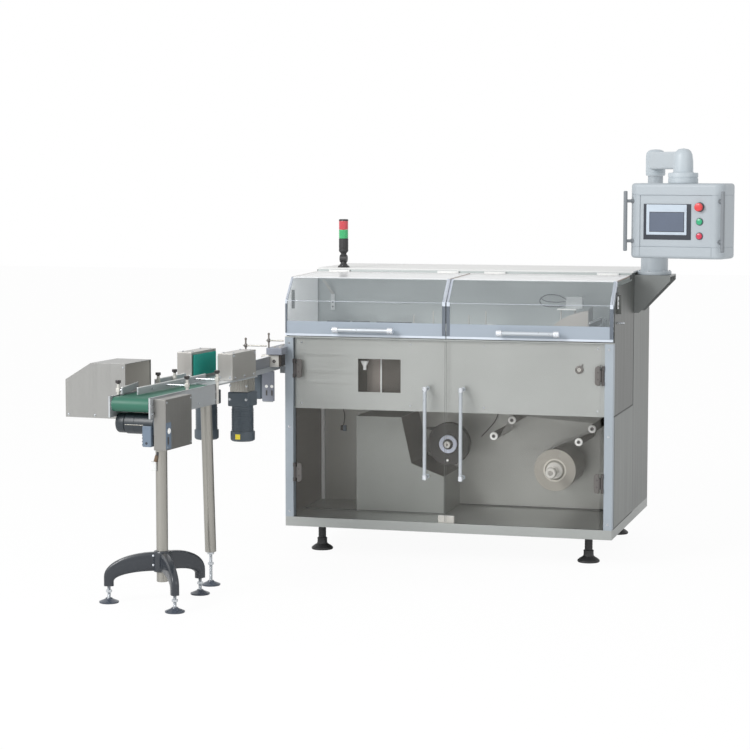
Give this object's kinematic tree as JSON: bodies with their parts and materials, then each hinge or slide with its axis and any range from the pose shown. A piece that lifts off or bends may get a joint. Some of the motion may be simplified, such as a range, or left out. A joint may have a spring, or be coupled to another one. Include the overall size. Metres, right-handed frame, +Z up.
{
  "type": "overwrapping machine",
  "caption": "Film overwrapping machine: steel cabinet with glass doors and lifting covers, film roll, swing arm control panel and belt infeed conveyor.",
  "frame": {"origin": "centre of the floor area that the machine and its infeed conveyor cover", "axes": "+X to the right along the cabinet's front, +Y to its back, +Z up"},
  "size_m": [2.72, 2.8014, 2.02],
  "materials": {
    "cabinet_steel": "satin",
    "aluminium": "anodised",
    "acrylic": "clear",
    "door_glass": "clear",
    "polished_steel": "polished",
    "black_rubber": "matte",
    "film": "semi gloss",
    "white_plastic": "gloss",
    "dark_plastic": "matte",
    "panel_paint": "semi gloss",
    "screen_glass": "gloss",
    "red_plastic": "gloss",
    "green_plastic": "gloss",
    "green_belt": "matte",
    "motor_paint": "semi gloss",
    "tripod_plastic": "semi gloss"
  },
  "bodies": {
    "machine": {"base_frame": "cabinet_steel", "cabinet_feet": "black_rubber", "front_posts": "aluminium", "left_side_panel": "cabinet_steel", "right_side_panel": "cabinet_steel", "back_plate": "cabinet_steel", "rear_cabinet": "cabinet_steel", "hinge_beam": "cabinet_steel", "roof_panel": "cabinet_steel", "front_panel": "cabinet_steel", "work_table": "cabinet_steel", "waste_chute": "cabinet_steel", "table_fittings": "polished_steel", "product_guide": "polished_steel", "film_web": "film", "door_hinge_blocks": "polished_steel", "lock_and_catch": "polished_steel", "cover_hinge_brackets": "polished_steel", "signal_tower": "dark_plastic", "tower_green_lens": "green_plastic", "tower_red_lens": "red_plastic", "panel_bracket": "cabinet_steel", "arm_column": "panel_paint", "conveyor_frame": "polished_steel", "conveyor_belt": "green_belt", "drive_cover": "polished_steel", "drive_motor": "motor_paint", "infeed_hood": "polished_steel", "guide_rails": "polished_steel", "infeed_bridge": "polished_steel", "gate_boxes": "polished_steel", "gate_belts": "green_belt", "gate_motors": "motor_paint", "stand_posts": "polished_steel", "tripod_base": "tripod_plastic", "stand_feet": "polished_steel", "bridge_guides": "polished_steel"},
    "left_door": {"left_door_glass": "door_glass", "left_door_fittings": "polished_steel"},
    "right_door": {"right_door_glass": "door_glass", "right_door_fittings": "polished_steel"},
    "left_cover": {"left_cover": "acrylic", "left_cover_fittings": "polished_steel"},
    "right_cover": {"right_cover": "acrylic", "right_cover_fittings": "polished_steel"},
    "film_reel": {"film_roll": "film", "film_shaft": "polished_steel"},
    "tape_reel": {"tape_reel": "dark_plastic"},
    "guide_roller_1": {"guide_roller_1": "polished_steel"},
    "guide_roller_2": {"guide_roller_2": "polished_steel"},
    "guide_roller_3": {"guide_roller_3": "polished_steel"},
    "guide_roller_4": {"guide_roller_4": "polished_steel"},
    "arm": {"swing_arm": "panel_paint"},
    "control_panel": {"hmi_box": "panel_paint", "hmi_screen": "screen_glass", "hmi_buttons": "red_plastic", "hmi_handles": "panel_paint"}
  },
  "joints": [
    {"name": "left_door_hinge", "type": "hinge", "parent": "machine", "child": "left_door", "pos_m": [-0.77472, 0.27673, 0.64], "axis": [0, 0, -1], "range_deg": [0, 80]},
    {"name": "right_door_hinge", "type": "hinge", "parent": "machine", "child": "right_door", "pos_m": [0.77328, 0.27673, 0.64], "axis": [0, 0, 1], "range_deg": [0, 100]},
    {"name": "left_cover_hinge", "type": "hinge", "parent": "machine", "child": "left_cover", "pos_m": [-0.41322, 0.81573, 1.397], "axis": [-1, 0, 0], "range_deg": [0, 75]},
    {"name": "right_cover_hinge", "type": "hinge", "parent": "machine", "child": "right_cover", "pos_m": [0.41178, 0.81573, 1.397], "axis": [-1, 0, 0], "range_deg": [0, 75]},
    {"name": "film_reel_spin", "type": "hinge", "parent": "machine", "child": "film_reel", "pos_m": [0.49328, 0.67173, 0.434], "axis": [0, 1, 0], "continuous": true},
    {"name": "tape_reel_spin", "type": "hinge", "parent": "machine", "child": "tape_reel", "pos_m": [-0.06272, 0.61073, 0.54], "axis": [0, 1, 0], "continuous": true},
    {"name": "guide_roller_1_spin", "type": "hinge", "parent": "machine", "child": "guide_roller_1", "pos_m": [0.28578, 0.65673, 0.683], "axis": [0, 1, 0], "continuous": true},
    {"name": "guide_roller_2_spin", "type": "hinge", "parent": "machine", "child": "guide_roller_2", "pos_m": [0.19428, 0.65673, 0.601], "axis": [0, 1, 0], "continuous": true},
    {"name": "guide_roller_3_spin", "type": "hinge", "parent": "machine", "child": "guide_roller_3", "pos_m": [0.68728, 0.65673, 0.652], "axis": [0, 1, 0], "continuous": true},
    {"name": "guide_roller_4_spin", "type": "hinge", "parent": "machine", "child": "guide_roller_4", "pos_m": [0.62128, 0.65673, 0.585], "axis": [0, 1, 0], "continuous": true},
    {"name": "arm_swivel", "type": "hinge", "parent": "machine", "child": "arm", "pos_m": [0.91128, 0.97673, 1.89], "axis": [0, 0, 1], "range_deg": [-35, 60]},
    {"name": "panel_swivel", "type": "hinge", "parent": "arm", "child": "control_panel", "pos_m": [1.11487, 0.50172, 1.855], "axis": [0, 0, 1], "range_deg": [-30, 30]}
  ]
}
